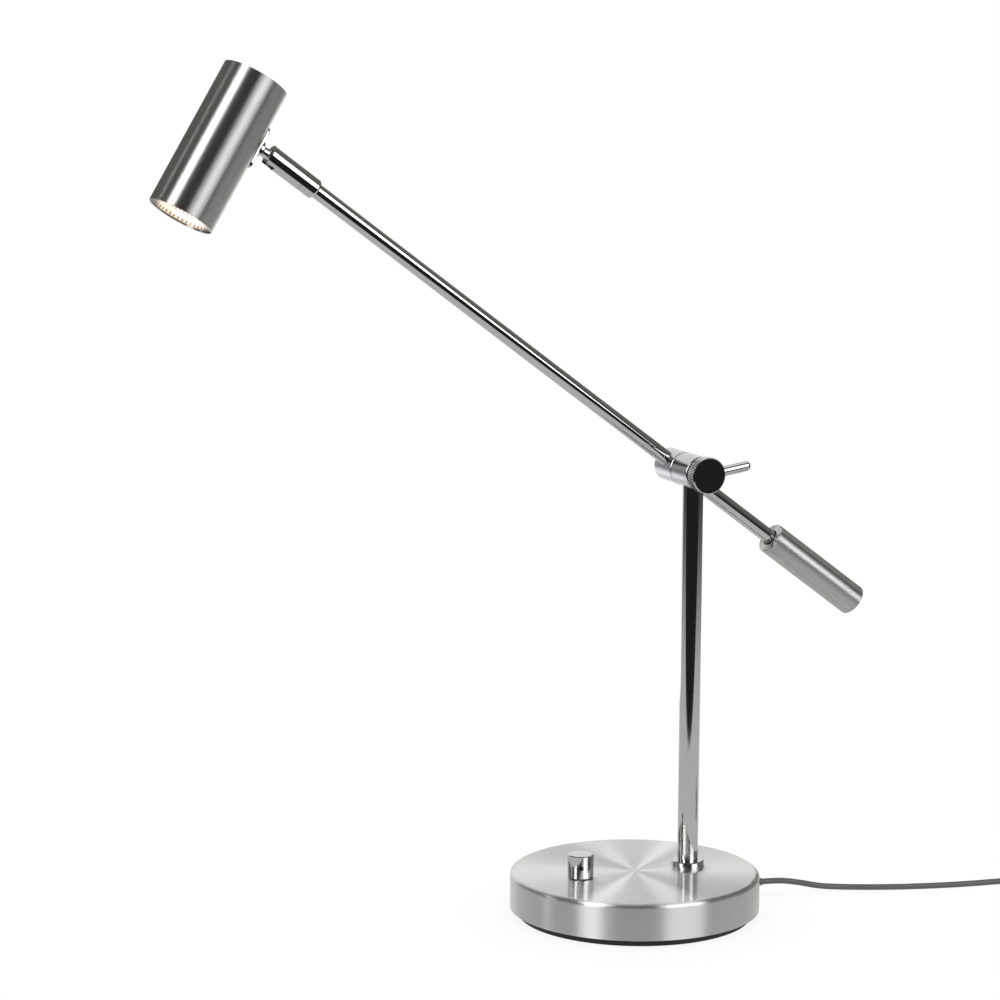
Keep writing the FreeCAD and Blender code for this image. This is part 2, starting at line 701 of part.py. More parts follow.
def bracket_screw(z):
    radius, height = BRACKET_SCREW_HEAD_R, BRACKET_SCREW_HEAD_H
    dome_r = (radius ** 2 + height ** 2) / (2 * height)
    base = V(-STRIP_FRONT, 0, z)
    dome = Part.makeSphere(dome_r, base - X * (dome_r - height))
    dome = dome.common(cylinder(base, X, radius + 1, height + 1))
    slot = hexagon(base + X * (height - 1.0), X, 2.0, 3)
    shank = cylinder(base, -X, BRACKET_SCREW_R, HOLDER_BACK - STRIP_FRONT + 1.5)
    return on_head(fuse(dome.cut(slot), shank))


def shade_tube():
    start = V(-SHADE_OFFSET, 0, SHADE_OPEN_Z)
    tube = ring(start, Z, SHADE_R, SHADE_R - SHADE_WALL, SHADE_TOP_Z - SHADE_OPEN_Z)
    holes = [cylinder(V(0, 0, 0), -X, STUB_R + 0.5, 30)]
    holes += [cylinder(V(0, 0, z), -X, BRACKET_SCREW_R, 30) for z in (-BRACKET_SCREW_Z, BRACKET_SCREW_Z)]
    return on_head(tube.cut(holes))


def shade_cap():
    radius = SHADE_R - SHADE_WALL
    cap = revolve([(0, 0), (radius, 0), (radius, CAP_T), (0, CAP_T)],
                  V(-SHADE_OFFSET, 0, SHADE_TOP_Z - CAP_T), Z)
    return on_head(cap)


def holder_bracket():
    half = STRIP_W / 2
    upright = box(V(-HOLDER_BACK, -half, -17), V(-HOLDER_FRONT, half, HOLDER_TOP_Z + HOLDER_SHEET_T))
    shelf = box(V(-SHADE_OFFSET - 12, -half, HOLDER_TOP_Z),
                V(-HOLDER_FRONT, half, HOLDER_TOP_Z + HOLDER_SHEET_T))
    sheet = fuse(upright, shelf)
    holes = [cylinder(V(0, 0, 0), -X, STUB_R + 0.5, 30)]
    holes.append(cylinder(V(0, 0, -BRACKET_SCREW_Z), -X, BRACKET_SCREW_R, 30))
    holes.append(cylinder(V(-SHADE_OFFSET, 0, HOLDER_TOP_Z - 1), Z, 1.5, 4))
    return on_head(sheet.cut(holes))


def holder_screw():
    at = V(-SHADE_OFFSET, 0, HOLDER_TOP_Z + HOLDER_SHEET_T)
    return on_head(fuse(cylinder(at, Z, 2.8, 2), cylinder(at, -Z, 1.5, 8)))


def lampholder():
    at = V(-SHADE_OFFSET, 0, LAMP_BASE_TOP_Z)
    body = turned_bar(at, Z, HOLDER_R, HOLDER_TOP_Z - LAMP_BASE_TOP_Z, 1.0)
    cuts = [cylinder(at + Y * y, Z, 2.6, 9) for y in (-5, 5)]
    cuts.append(cylinder(V(-SHADE_OFFSET, 0, HOLDER_TOP_Z), -Z, 1.5, 8))
    return on_head(body.cut(cuts))


def lamp_outline(inset):
    """Bowl of the lamp, from its neck to its rim: one arc in a plane through its axis."""
    neck = V(LAMP_NECK_R - inset, 0, LAMP_NECK_Z)
    rim = V(LAMP_R - inset, 0, LAMP_FACE_Z + LAMP_RIM_H)
    middle = (neck + rim) * 0.5 + V(2.6, 0, 1.4)
    return Part.Arc(neck, middle, rim).toShape(), neck, rim


def lamp_reflector():
    outer, neck_out, rim_out = lamp_outline(0)
    inner, neck_in, rim_in = lamp_outline(LAMP_GLASS_T)
    front_out = V(rim_out.x, 0, LAMP_FACE_Z)
    front_in = V(rim_in.x, 0, LAMP_FACE_Z)
    edges = [
        outer,
        Part.makeLine(rim_out, front_out),
        Part.makeLine(front_out, front_in),
        Part.makeLine(front_in, rim_in),
        inner,
        Part.makeLine(neck_in, neck_out),
    ]
    bowl = Part.Face(Part.Wire(Part.__sortEdges__(edges))).revolve(V(0, 0, 0), Z, 360)
    bowl.translate(-X * SHADE_OFFSET)
    return on_head(bowl)


def lamp_front_glass():
    at = V(-SHADE_OFFSET, 0, LAMP_FACE_Z + 0.4)
    return on_head(cylinder(at, Z, LAMP_R - LAMP_GLASS_T, 1.2))


def lamp_base():
    at = V(-SHADE_OFFSET, 0, LAMP_NECK_Z)
    body = cylinder(at, Z, LAMP_NECK_R, LAMP_BASE_TOP_Z - LAMP_NECK_Z)
    pins = []
    for y in (-5, 5):
        foot = V(-SHADE_OFFSET, y, LAMP_BASE_TOP_Z)
        pins += [cylinder(foot, Z, 1.0, 5), cylinder(foot + Z * 5, Z, 2.3, 2)]
    return on_head(fuse(body, *pins))


def lamp_burner():
    at = V(-SHADE_OFFSET, 0, LAMP_NECK_Z)
    return on_head(fuse(cylinder(at, -Z, 4.5, 12), Part.makeSphere(4.5, at - Z * 12)))


# ---- Cord ----

def corner_arcs(route):
    """Straight runs joined by tangent arcs, and the radius of each arc."""
    edges, radii = [], []
    last = route[0]
    for before, here, after in zip(route, route[1:], route[2:]):
        way_in, way_out = (here - before).normalize(), (after - here).normalize()
        half_turn = asin(min(1, (way_out - way_in).Length / 2))
        shorter = min((here - before).Length, (after - here).Length)
        setback = 0.45 * shorter
        radius = setback / tan(half_turn)
        start, end = here - way_in * setback, here + way_out * setback
        inward = (way_out - way_in).normalize()
        middle = here + inward * (hypot(radius, setback) - radius)
        edges += [Part.LineSegment(last, start).toShape(), Part.Arc(start, middle, end).toShape()]
        radii.append(radius)
        last = end
    edges.append(Part.LineSegment(last, route[-1]).toShape())
    return edges, radii


def sweep_disc(edges, radius, name):
    wire = Part.Wire(edges)
    start = edges[0].valueAt(edges[0].FirstParameter)
    disc = Part.Wire(Part.makeCircle(radius, start, edges[0].tangentAt(edges[0].FirstParameter)))
    solid = wire.makePipeShell([disc], True, False)
    print(name, "length", round(wire.Length, 1), "volume ratio",
          round(solid.Volume / (pi * radius ** 2 * wire.Length), 4))
    return solid


def tube_along(route, radius, name):
    edges, radii = corner_arcs(route)
    print(name, "radii", [round(r, 1) for r in radii])
    return sweep_disc(edges, radius, name)


def biarc(start, way_1, end, way_2):
    """Two arcs that leave start along way_1 and reach end along way_2."""
    span = end - start
    ways = way_1 + way_2
    bend = 2 * (1 - way_1.dot(way_2))
    along = span.dot(ways)
    reach = (sqrt(along ** 2 + bend * span.dot(span)) - along) / bend
    joint = (start + way_1 * reach + end - way_2 * reach) * 0.5
    return [tangent_arc(start, way_1, joint), tangent_arc(end, -way_2, joint, backwards=True)]


def tangent_arc(start, way, end, backwards=False):
    chord = end - start
    across = (way - chord * (way.dot(chord) / chord.dot(chord))).normalize()
    lean = asin(min(1, way.cross(chord).Length / chord.Length))
    middle = (start + end) * 0.5 + across * (chord.Length / 2 * tan(lean / 2))
    if backwards:
        return Part.Arc(end, middle, start).toShape()
    return Part.Arc(start, middle, end).toShape()


def coil_frame():
    """Centre of the coil, the way from it to where the cord runs in, and the cord's way there."""
    way = (CORD_ROUTE[-1] - CORD_ROUTE[-2]).normalize()
    right = V(way.y, -way.x, 0)
    outer = COIL_MEAN_R + COIL_R_SPAN / 2
    centre = CORD_ROUTE[-1] + way * CORD_D + right * outer
    return V(centre.x, centre.y, 0), V(-right.x, -right.y, 0), way


def coil_point(turns, centre, first):
    """Point after some clockwise turns: in along the floor, up a layer, and out again on top."""
    half = (COIL_TURNS - 0.5) / 2
    outer = COIL_MEAN_R + COIL_R_SPAN / 2
    inward = min(turns, half) - max(0, turns - half - 0.5)
    climb = min(1, max(0, (turns - half) / 0.5))
    lift = COIL_LIFT * (1 - cos(pi * climb)) / 2
    radius = outer - COIL_STEP * inward
    turn = FreeCAD.Rotation(Z, -360 * turns)
    return centre + turn.multVec(first) * radius + Z * (CORD_Z + lift)


def coil_knots():
    """Turn counts a quarter turn apart, with one at each end of the climb."""
    half = (COIL_TURNS - 0.5) / 2
    knots = [k / 4 for k in range(int(half * 4) + 1)]
    knots += [half, half + 0.25, half + 0.5]
    knots += [COIL_TURNS - k / 4 for k in range(int(half * 4), -1, -1)]
    return [k for i, k in enumerate(knots) if i == 0 or k - knots[i - 1] > 0.01]


def coil_way(turns, centre, first):
    step = 1e-4
    ahead = coil_point(turns + step, centre, first)
    behind = coil_point(turns - step, centre, first)
    return (ahead - behind).normalize()


def coil_edges():
    centre, first, way = coil_frame()
    knots = coil_knots()
    ways = [coil_way(t, centre, first) for t in knots]
    ways[0] = way
    points = [coil_point(t, centre, first) for t in knots]
    edges = [Part.LineSegment(CORD_ROUTE[-1], points[0]).toShape()]
    for k in range(len(knots) - 1):
        edges += biarc(points[k], ways[k], points[k + 1], ways[k + 1])
    level = V(ways[-1].x, ways[-1].y, 0).normalize()
    end = points[-1] + level * CORD_D
    edges.append(Part.LineSegment(points[-1], end).toShape())
    return edges, end, level


def least_gap(edges, width):
    """Least distance between the tube's surfaces, away from neighbouring stretches."""
    path = []
    length = 0
    for edge in edges:
        count = max(2, int(edge.Length / 1.5))
        for point in edge.discretize(count)[:-1]:
            path.append((length, point))
            length += edge.Length / (count - 1)
    gap = 1e9
    for i, (here, p) in enumerate(path):
        for there, q in path[i + 1:]:
            if there - here > 12 * width:
                gap = min(gap, (p - q).Length)
    return gap - width


def plug_placement(end, way):
    turn = FreeCAD.Rotation(X, way)
    return FreeCAD.Placement(V(end.x, end.y, PLUG_Z), turn)


def plug_body():
    """Flat two-pin plug, drawn along +X from the cord's end, with its tapered boot."""
    half = V(0, PLUG_W / 2, PLUG_Z)
    start, front = PLUG_BOOT_LEN, PLUG_BOOT_LEN + PLUG_LEN
    outline = [V(start, -8, 0), V(start + 12, -half.y, 0), V(front, -half.y, 0),
               V(front, half.y, 0), V(start + 12, half.y, 0), V(start, 8, 0)]
    face = Part.Face(Part.makePolygon(outline + outline[:1]))
    face.translate(-Z * PLUG_Z)
    body = face.extrude(Z * 2 * PLUG_Z)
    body = body.makeChamfer(2.0, [e for e in body.Edges if e.BoundBox.ZLength < 0.01
                                  and abs(e.CenterOfMass.x - front) > 0.01])
    boot = cone(V(0, 0, 0), X, CORD_D / 2 + 0.6, PLUG_BOOT_R, start + 4)
    sockets = [cylinder(V(front - 6, y, 0), X, PIN_R, 8) for y in (-PIN_PITCH / 2, PIN_PITCH / 2)]
    return fuse(body, boot).cut(sockets)


def plug_pin(y):
    start = PLUG_BOOT_LEN + PLUG_LEN - 6
    pin = cylinder(V(start, y, 0), X, PIN_R, PIN_LEN + 6)
    tip = [e for e in pin.Edges if abs(e.CenterOfMass.x - start - PIN_LEN - 6) < 0.01]
    return pin.makeFillet(1.2, tip)


def export(name, shape):
    shape.exportStep("parts/" + name + ".step")
    if not shape.isValid():
        print("not valid:", name)


def group(shapes):
    return Part.makeCompound(shapes)


def main():
    os.makedirs("parts", exist_ok=True)
    coil, coil_end, coil_out = coil_edges()
    print("coil gap", round(least_gap(coil, CORD_D), 2))
    placed = plug_placement(coil_end, coil_out)
    plug = plug_body()
    pins = group([plug_pin(y) for y in (-PIN_PITCH / 2, PIN_PITCH / 2)])
    plug.Placement = placed
    pins.Placement = placed
    nodes = {
        "base_cover": base_cover(),
        "base_weight": base_weight(),
        "bottom_plate": bottom_plate(),
        "bottom_plate_screws": group([plate_screw(p) for p in plate_screw_points()]),
        "foot_pad": foot_pad(),
        "cord_relief": cord_relief(),
        "terminal_block": terminal_block(),
        "inner_mains_lead": inner_mains_lead(),
        "dimmer_lead": dimmer_lead(),
        "dimmer_body": dimmer_body(),
        "dimmer_washer": dimmer_washer(),
        "dimmer_nut": dimmer_nut(),
        "dimmer_shaft": dimmer_shaft(),
        "dimmer_knob": dimmer_knob(),
        "dimmer_set_screw": dimmer_set_screw(),
        "pole_tube": pole_tube(),
        "pole_collar": pole_collar(),
        "pole_foot_plug": pole_foot_plug(),
        "pole_nipple": pole_nipple(),
        "pole_washer": pole_washer(),
        "pole_nut": pole_nut(),
        "pole_lead": pole_lead(),
        "pole_head": pole_head(),
        "pivot_stud": pivot_stud(),
        "seam_washer": seam_washer(),
        "disc_spring": disc_spring(),
        "clamp_washer": clamp_washer(),
        "clamp_knob": clamp_knob(),
        "clamp_lever": clamp_lever(),
        "arm_hub": arm_hub(),
        "hub_end_cap": hub_end_cap(),
        "arm_grub_screw": arm_grub_screw(),
        "arm_tube": arm_tube(),
        "arm_lead": arm_lead(),
        "counterweight": counterweight(),
        "counterweight_grub_screw": counterweight_grub_screw(),
        "knuckle_sleeve": knuckle_sleeve(),
        "knuckle_housing": knuckle_housing(),
        "ball_cup": ball_cup(),
        "ball_spring": ball_spring(),
        "ball_stem": ball_stem(),
        "stem_nut": stem_nut(),
        "head_strip": head_strip(),
        "bracket_screws": group([bracket_screw(z) for z in (-BRACKET_SCREW_Z, BRACKET_SCREW_Z)]),
        "shade_tube": shade_tube(),
        "shade_cap": shade_cap(),
        "holder_bracket": holder_bracket(),
        "holder_screw": holder_screw(),
        "lampholder": lampholder(),
        "lamp_reflector": lamp_reflector(),
        "lamp_front_glass": lamp_front_glass(),
        "lamp_base": lamp_base(),
        "lamp_burner": lamp_burner(),
        "power_cord": tube_along(CORD_ROUTE, CORD_D / 2, "power cord"),
        "cord_coil": sweep_disc(coil, CORD_D / 2, "cord coil"),
        "plug_body": plug,
        "plug_pins": pins,
    }
    for name, shape in nodes.items():
        export(name, shape)
    print(len(nodes), "nodes; ball at", [round(c, 2) for c in BALL_AT])


main()
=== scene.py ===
"""Counterweight balance desk lamp: materials, cord, lamp optics, studio and camera.

Metres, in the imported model's frame: the origin is the centre of the base on the table, +Z is
up, the clamp knob faces -Y and the head hangs at -X.
"""

import json
from math import cos, pi, radians, sin

import bmesh
import bpy
from mathutils import Matrix, Vector


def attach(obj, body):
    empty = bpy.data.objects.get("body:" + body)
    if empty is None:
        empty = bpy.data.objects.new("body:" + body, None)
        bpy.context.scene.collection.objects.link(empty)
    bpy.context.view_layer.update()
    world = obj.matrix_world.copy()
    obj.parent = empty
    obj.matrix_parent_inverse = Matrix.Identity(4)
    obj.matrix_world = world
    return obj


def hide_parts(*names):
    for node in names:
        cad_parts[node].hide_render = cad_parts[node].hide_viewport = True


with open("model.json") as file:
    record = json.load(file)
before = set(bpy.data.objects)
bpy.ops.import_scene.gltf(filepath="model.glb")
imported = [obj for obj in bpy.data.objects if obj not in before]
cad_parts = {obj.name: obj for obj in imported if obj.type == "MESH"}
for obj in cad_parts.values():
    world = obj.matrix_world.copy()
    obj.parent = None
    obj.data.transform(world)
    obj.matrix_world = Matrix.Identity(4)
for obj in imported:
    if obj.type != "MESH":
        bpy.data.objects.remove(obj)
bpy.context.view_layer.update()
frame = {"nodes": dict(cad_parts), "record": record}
nodes = frame["nodes"]
scene = bpy.context.scene

X, Y, Z = Vector((1, 0, 0)), Vector((0, 1, 0)), Vector((0, 0, 1))

# Arm and barrel
ARM_UP = radians(36.4)
ARM_R = 0.006
ARM_AT = Vector((0.0476, 0.0275, 0.3561))
ARM_DIR = Vector((-cos(ARM_UP), 0, sin(ARM_UP)))
BARREL_AT = Vector((0.0476, 0, 0.3561))

# Head: the ball at the arm's end, its neck and the shade on it
BALL_REACH = 0.426
NECK_ROLL = radians(4.24)
NECK_DROP = radians(4.12)
SHADE_OFFSET = 0.04345
SHADE_R = 0.02615
BALL_AT = ARM_AT + ARM_DIR * BALL_REACH
NECK_TURN = Matrix.Rotation(NECK_ROLL, 3, ARM_DIR) @ Matrix.Rotation(ARM_UP - NECK_DROP, 3, "Y")
NECK_DIR = NECK_TURN @ -X
SHADE_AXIS = NECK_TURN @ Z
SHADE_AT = BALL_AT + NECK_DIR * SHADE_OFFSET

# The lamp's pressed reflector, measured along the shade from SHADE_AT
FACET_RINGS = 8
FACET_COUNT = 42
BOWL_NECK_Z = -0.0385
BOWL_NECK_R = 0.0092
BOWL_RIM_Z = -0.0712
BOWL_RIM_R = 0.0231
BOWL_SWELL = 0.0021
BOWL_CURVE = 1.15

# Clamp knob
KNOB_FACE_Y = -0.0275
KNURLS = 72
KNOB_PROFILE = [  # depth behind the face, outer radius, depth of the knurl
    (0.0, 0.0136, 0.0),
    (0.0007, 0.01435, 0.0),
    (0.0009, 0.0146, 0.00035),
    (0.0093, 0.0146, 0.00035),
    (0.0097, 0.0142, 0.0),
    (0.0099, 0.01185, 0.0),
    (0.0125, 0.01185, 0.0),
]
KNOB_MATERIALS = ("chrome", "knurl", "black_nylon")
KNURL_BAND = 2  # bands of the profile, counted from the face
NECK_BANDS = (4, 5)


def add_object(name, data):
    made = bpy.data.objects.new(name, data)
    scene.collection.objects.link(made)
    return made


def add_mesh(name, build):
    """An object from a bmesh, which is freed."""
    mesh = bpy.data.meshes.new(name)
    build.to_mesh(mesh)
    build.free()
    return add_object(name, mesh)


def paint(obj, material):
    obj.data.materials.clear()
    obj.data.materials.append(material)


# ---- Cord ----

CORD_D = 0.0048
CORD_ROUTE = [
    (0.116, 0.0, 0.013), (0.132, -0.0004, 0.0126), (0.150, -0.0018, 0.0092),
    (0.168, -0.0036, 0.0044), (0.188, -0.0076, 0.0024), (0.214, -0.0198, 0.0024),
    (0.246, -0.0312, 0.0024), (0.284, -0.0404, 0.0024), (0.322, -0.0456, 0.0024),
    (0.349, -0.0486, 0.0024),
]
COIL_TURNS = 8.25
COIL_CLIMB = 0.5
COIL_MEAN_R = 0.0288
COIL_STEP = 0.0061
COIL_LIFT = 0.00535
POINTS_PER_TURN = 20


def coil_points():
    """In along the floor, up a layer where the spiral turns back, and out again on top."""
    half = (COIL_TURNS - COIL_CLIMB) / 2
    outer = COIL_MEAN_R + COIL_STEP * half / 2
    end = Vector(CORD_ROUTE[-1])
    way = (end - Vector(CORD_ROUTE[-2])).normalized()
    right = Vector((way.y, -way.x, 0))
    centre = end + way * CORD_D + right * outer
    points = []
    for k in range(int(COIL_TURNS * POINTS_PER_TURN) + 1):
        turns = k / POINTS_PER_TURN
        radius = outer - COIL_STEP * (min(turns, half) - max(0, turns - half - COIL_CLIMB))
        climb = min(1, max(0, (turns - half) / COIL_CLIMB))
        turn = Matrix.Rotation(-2 * pi * turns, 3, "Z")
        lift = COIL_LIFT * (1 - cos(pi * climb)) / 2
        points.append(centre + turn @ -right * radius + Z * lift)
    last_way = points[-1] - points[-2]
    points.append(points[-1] + Vector((last_way.x, last_way.y, 0)).normalized() * CORD_D)
    return points


def make_cord():
    """Mains cord from the base to its coil. A point's radius sets the cord's thickness."""
    curve = bpy.data.curves.new("mains_cord", "CURVE")
    curve.dimensions = "3D"
    curve.bevel_depth = 1.0
    curve.bevel_resolution = 5
    curve.resolution_u = 6
    curve.use_fill_caps = True
    spline = curve.splines.new("NURBS")
    points = [Vector(p) for p in CORD_ROUTE] + coil_points()
    spline.points.add(len(points) - 1)
    for knot, point in zip(spline.points, points):
        knot.co = (*point, 1)
        knot.radius = CORD_D / 2
    spline.order_u = 3
    spline.use_endpoint_u = True
    cord = add_object("mains_cord", curve)
    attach(cord, "base")
    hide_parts("power_cord", "cord_coil")
    return cord


# ---- Node trees ----

class Graph:
    """Short calls for building a node tree."""

    def __init__(self, tree):
        self.tree = tree
        tree.nodes.clear()

    def feed(self, socket, value):
        if isinstance(value, bpy.types.NodeSocket):
            self.tree.links.new(value, socket)
        else:
            socket.default_value = value

    def node(self, kind, inputs=(), **settings):
        made = self.tree.nodes.new(kind)
        for name, value in settings.items():
            setattr(made, name, value)
        for key, value in dict(inputs).items():
            self.feed(made.inputs[key], value)
        return made

    def output(self, kind, shader):
        self.tree.links.new(shader.outputs[0], self.node(kind).inputs[0])

    def math(self, operation, first, second=0.0):
        return self.node("ShaderNodeMath", {0: first, 1: second}, operation=operation).outputs[0]

    def weighted(self, first, first_share, second, second_share):
        return self.math("ADD", self.math("MULTIPLY", first, first_share),
                         self.math("MULTIPLY", second, second_share))

    def from_middle(self, value):
        """How far the fraction of a value is from one half."""
        return self.math("ABSOLUTE", self.math("SUBTRACT", self.math("FRACT", value), 0.5))

    def vector(self, operation, first, second=(0, 0, 0)):
        made = self.node("ShaderNodeVectorMath", {0: first, 1: second}, operation=operation)
        return made.outputs["Value" if operation in ("DOT_PRODUCT", "LENGTH") else "Vector"]

    def dot(self, vector, direction):
        return self.vector("DOT_PRODUCT", vector, tuple(direction))

    def scaled(self, vector, factor):
        made = self.node("ShaderNodeVectorMath", {0: vector}, operation="SCALE")
        self.feed(made.inputs["Scale"], factor)
        return made.outputs["Vector"]

    def to_world(self, vector, vector_type):
        made = self.node("ShaderNodeVectorTransform", {"Vector": vector},
                         vector_type=vector_type, convert_from="OBJECT", convert_to="WORLD")
        return made.outputs[0]

    def noise(self, vector, scale, detail=2.0, rough=0.5):
        inputs = {"Vector": vector, "Scale": scale, "Detail": detail, "Roughness": rough}
        return self.node("ShaderNodeTexNoise", inputs).outputs["Fac"]

    def remap(self, value, low, high, to_low, to_high, smooth=False):
        inputs = {"Value": value, 1: low, 2: high, 3: to_low, 4: to_high}
        kind = "SMOOTHSTEP" if smooth else "LINEAR"
        return self.node("ShaderNodeMapRange", inputs, interpolation_type=kind).outputs[0]

    def blend(self, factor, first, second):
        made = self.node("ShaderNodeMix", data_type="RGBA")
        self.feed(made.inputs["Factor"], factor)
        self.feed(made.inputs["A"], first)
        self.feed(made.inputs["B"], second)
        return made.outputs["Result"]

    def object_coords(self):
        return self.node("ShaderNodeTexCoord").outputs["Object"]

    def offset_from(self, origin):
        return self.vector("SUBTRACT", self.object_coords(), tuple(origin))

    def around(self, origin, axis):
        """Offset from the origin, distance along the axis, offset from it and distance from it."""
        offset = self.offset_from(origin)
        along = self.dot(offset, axis)
        across = self.vector("SUBTRACT", offset, self.scaled(tuple(axis), along))
        return offset, along, across, self.vector("LENGTH", across)

    def seen_directly(self):
        """1 for rays from the camera or through glass, 0 for reflections and light."""
        rays = self.node("ShaderNodeLightPath").outputs
        return self.math("MAXIMUM", rays["Is Camera Ray"], rays["Is Transmission Ray"])


def rgba(colour, share=1.0):
    """The colour with its alpha, each part multiplied by the share and at most 1."""
    return (*[min(1, c * share) for c in colour], 1)


def new_material(name):
    material = bpy.data.materials.new(name)
    material.use_nodes = True
    return material, Graph(material.node_tree)


def principled(name, colour, **values):
    """A material with one Principled shader. Returns it, its graph and the shader."""
    material, graph = new_material(name)
    shader = graph.node("ShaderNodeBsdfPrincipled", {"Base Color": rgba(colour)})
    for key, value in values.items():
        socket = key.replace("_", " ").title().replace("Ior", "IOR")
        shader.inputs[socket].default_value = value
    graph.output("ShaderNodeOutputMaterial", shader)
    return material, graph, shader


def bump(graph, shader, height, strength, distance, normal=None):
    inputs = {"Height": height, "Strength": strength, "Distance": distance}
    if normal is not None:
        inputs["Normal"] = normal
    graph.feed(shader.inputs["Normal"], graph.node("ShaderNodeBump", inputs).outputs[0])


# ---- Materials ----

STEEL = (0.66, 0.66, 0.645)
SATIN = (0.56, 0.56, 0.545)
CHROME = (0.56, 0.56, 0.555)
DRUM_CHROME = (0.54, 0.555, 0.575)

# How far behind the shade's side the strip's shadow begins and ends
STRIP_DARK = 0.0004
STRIP_CLEAR = 0.0007

# Brushing: the scale of its rings and of the ripples along them, and its depth
BRUSH_LINES = 3200.0
BRUSH_RIPPLES = 55.0
BRUSH_GRAIN = 0.012
GRAIN_HEIGHT = 0.0002

# Reflector with a painted glow, measured along the shade: its rows of gaps, where they fade out
# toward the mouth, and where the rim's glow falls
GAP_ROW = 0.006
GAP_START_Z = BOWL_RIM_Z - 0.0038
GAP_NONE_Z = BOWL_RIM_Z - 0.0024
GAP_FULL_Z = BOWL_RIM_Z - 0.0016
RIM_DIM_Z = BOWL_RIM_Z - 0.0026
RIM_BRIGHT_Z = BOWL_RIM_Z - 0.0010
BOWL_METAL = (0.32, 0.30, 0.27)
GAP_METAL = (0.06, 0.02, 0.004)
CREAM_GLOW = (1.0, 0.90, 0.74)
AMBER_GLOW = (0.34, 0.105, 0.004)


def brushed(name, colour, origin, axis, roughness, **values):
    """Metal brushed round an axis: fine rings that stretch every highlight across them."""
    material, graph, shader = principled(name, colour, metallic=1.0, anisotropic=1.0,
                                         anisotropic_rotation=0.25, **values)
    offset, along, across, radius = graph.around(origin, axis)
    rings = graph.node("ShaderNodeCombineXYZ", {0: graph.math("MULTIPLY", radius, BRUSH_LINES),
                                                 1: graph.math("MULTIPLY", along, BRUSH_LINES)})
    place = graph.vector("ADD", rings.outputs[0], graph.scaled(across, BRUSH_RIPPLES))
    fine = graph.noise(place, 1.0, 3.0, 0.6)
    coarse = graph.noise(graph.scaled(place, 0.21), 1.0, 2.0)
    cloud = graph.noise(graph.object_coords(), 38.0, 3.0)
    grain = graph.weighted(fine, 0.6, coarse, 0.4)
    spread = graph.remap(grain, 0.3, 0.7, roughness - 0.02, roughness + 0.02)
    smear = graph.remap(cloud, 0.35, 0.75, -0.008, 0.012)
    graph.feed(shader.inputs["Roughness"], graph.math("ADD", spread, smear))
    tone = graph.remap(grain, 0.25, 0.75, 0, 1)
    graph.feed(shader.inputs["Base Color"], graph.blend(tone, rgba(colour, 0.95), rgba(colour)))
    brush_way = graph.vector("CROSS_PRODUCT", tuple(axis), offset)
    graph.feed(shader.inputs["Tangent"], graph.to_world(brush_way, "VECTOR"))
    bump(graph, shader, grain, BRUSH_GRAIN, GRAIN_HEIGHT)
    return material


def tube_normal(graph, origin, axis, radius):
    """Normal of a true cylinder where the surface lies on it, else the mesh's own."""
    _, _, across, reach = graph.around(origin, axis)
    on_side = graph.math("GREATER_THAN", reach, radius * 0.99)
    round_way = graph.vector("NORMALIZE", graph.to_world(across, "NORMAL"))
    own = graph.node("ShaderNodeNewGeometry").outputs["Normal"]
    return graph.vector("NORMALIZE", graph.blend(on_side, own, round_way))


def polished(name, colour, roughness=0.05, waviness=0.004, tube=None):
    """Bright plated metal with faint smears and the slight unevenness of a polished tube."""
    material, graph, shader = principled(name, colour, metallic=1.0)
    normal = tube_normal(graph, *tube) if tube else None
    place = graph.object_coords()
    smear = graph.noise(place, 60.0, 4.0, 0.6)
    speck = graph.noise(place, 900.0, 1.0)
    dullness = graph.math("ADD", graph.remap(smear, 0.4, 0.75, roughness, roughness + 0.05),
                          graph.remap(speck, 0.66, 0.8, 0.0, 0.03))
    graph.feed(shader.inputs["Roughness"], dullness)
    tone = graph.remap(smear, 0.45, 0.8, 0, 1)
    graph.feed(shader.inputs["Base Color"], graph.blend(tone, rgba(colour), rgba(colour, 0.93)))
    bump(graph, shader, graph.noise(place, 24.0, 2.0), waviness, 0.002, normal)
    return material


def strip_chrome():
    """Plated strip. Its back, which the round shade leaves in shadow, is dark."""
    material, graph, shader = principled("strip_chrome", CHROME, metallic=1.0)
    out = graph.math("MULTIPLY", graph.dot(graph.offset_from(SHADE_AT), NECK_DIR), -1.0)
    shadow = graph.remap(out, SHADE_R + STRIP_DARK, SHADE_R + STRIP_CLEAR, 0.02, 1.0)
    smear = graph.noise(graph.object_coords(), 80.0, 3.0)
    colour = graph.blend(shadow, (0.01, 0.01, 0.01, 1), rgba(CHROME))
    graph.feed(shader.inputs["Base Color"], colour)
    graph.feed(shader.inputs["Roughness"], graph.remap(smear, 0.4, 0.75, 0.10, 0.18))
    return material


def knurled():
    """Milled rim of the clamp knob: painted highlights on the ridges and painted shade in the
    grooves between them.
    """
    material, graph, shader = principled("knurl", (0.6, 0.61, 0.62), metallic=1.0)
    offset = graph.offset_from(BARREL_AT)
    angle = graph.math("ARCTAN2", graph.dot(offset, Z), graph.dot(offset, X))
    wave = graph.math("SINE", graph.math("MULTIPLY", angle, float(KNURLS)))
    ridge = graph.remap(wave, -0.6, 0.8, 0.0, 1.0, smooth=True)
    # Painted shade in each groove, painted highlight on each ridge
    colour = graph.blend(ridge, (0.05, 0.05, 0.05, 1), (0.88, 0.89, 0.90, 1))
    graph.feed(shader.inputs["Base Color"], colour)
    graph.feed(shader.inputs["Roughness"], graph.remap(ridge, 0.0, 1.0, 0.55, 0.40))
    return material


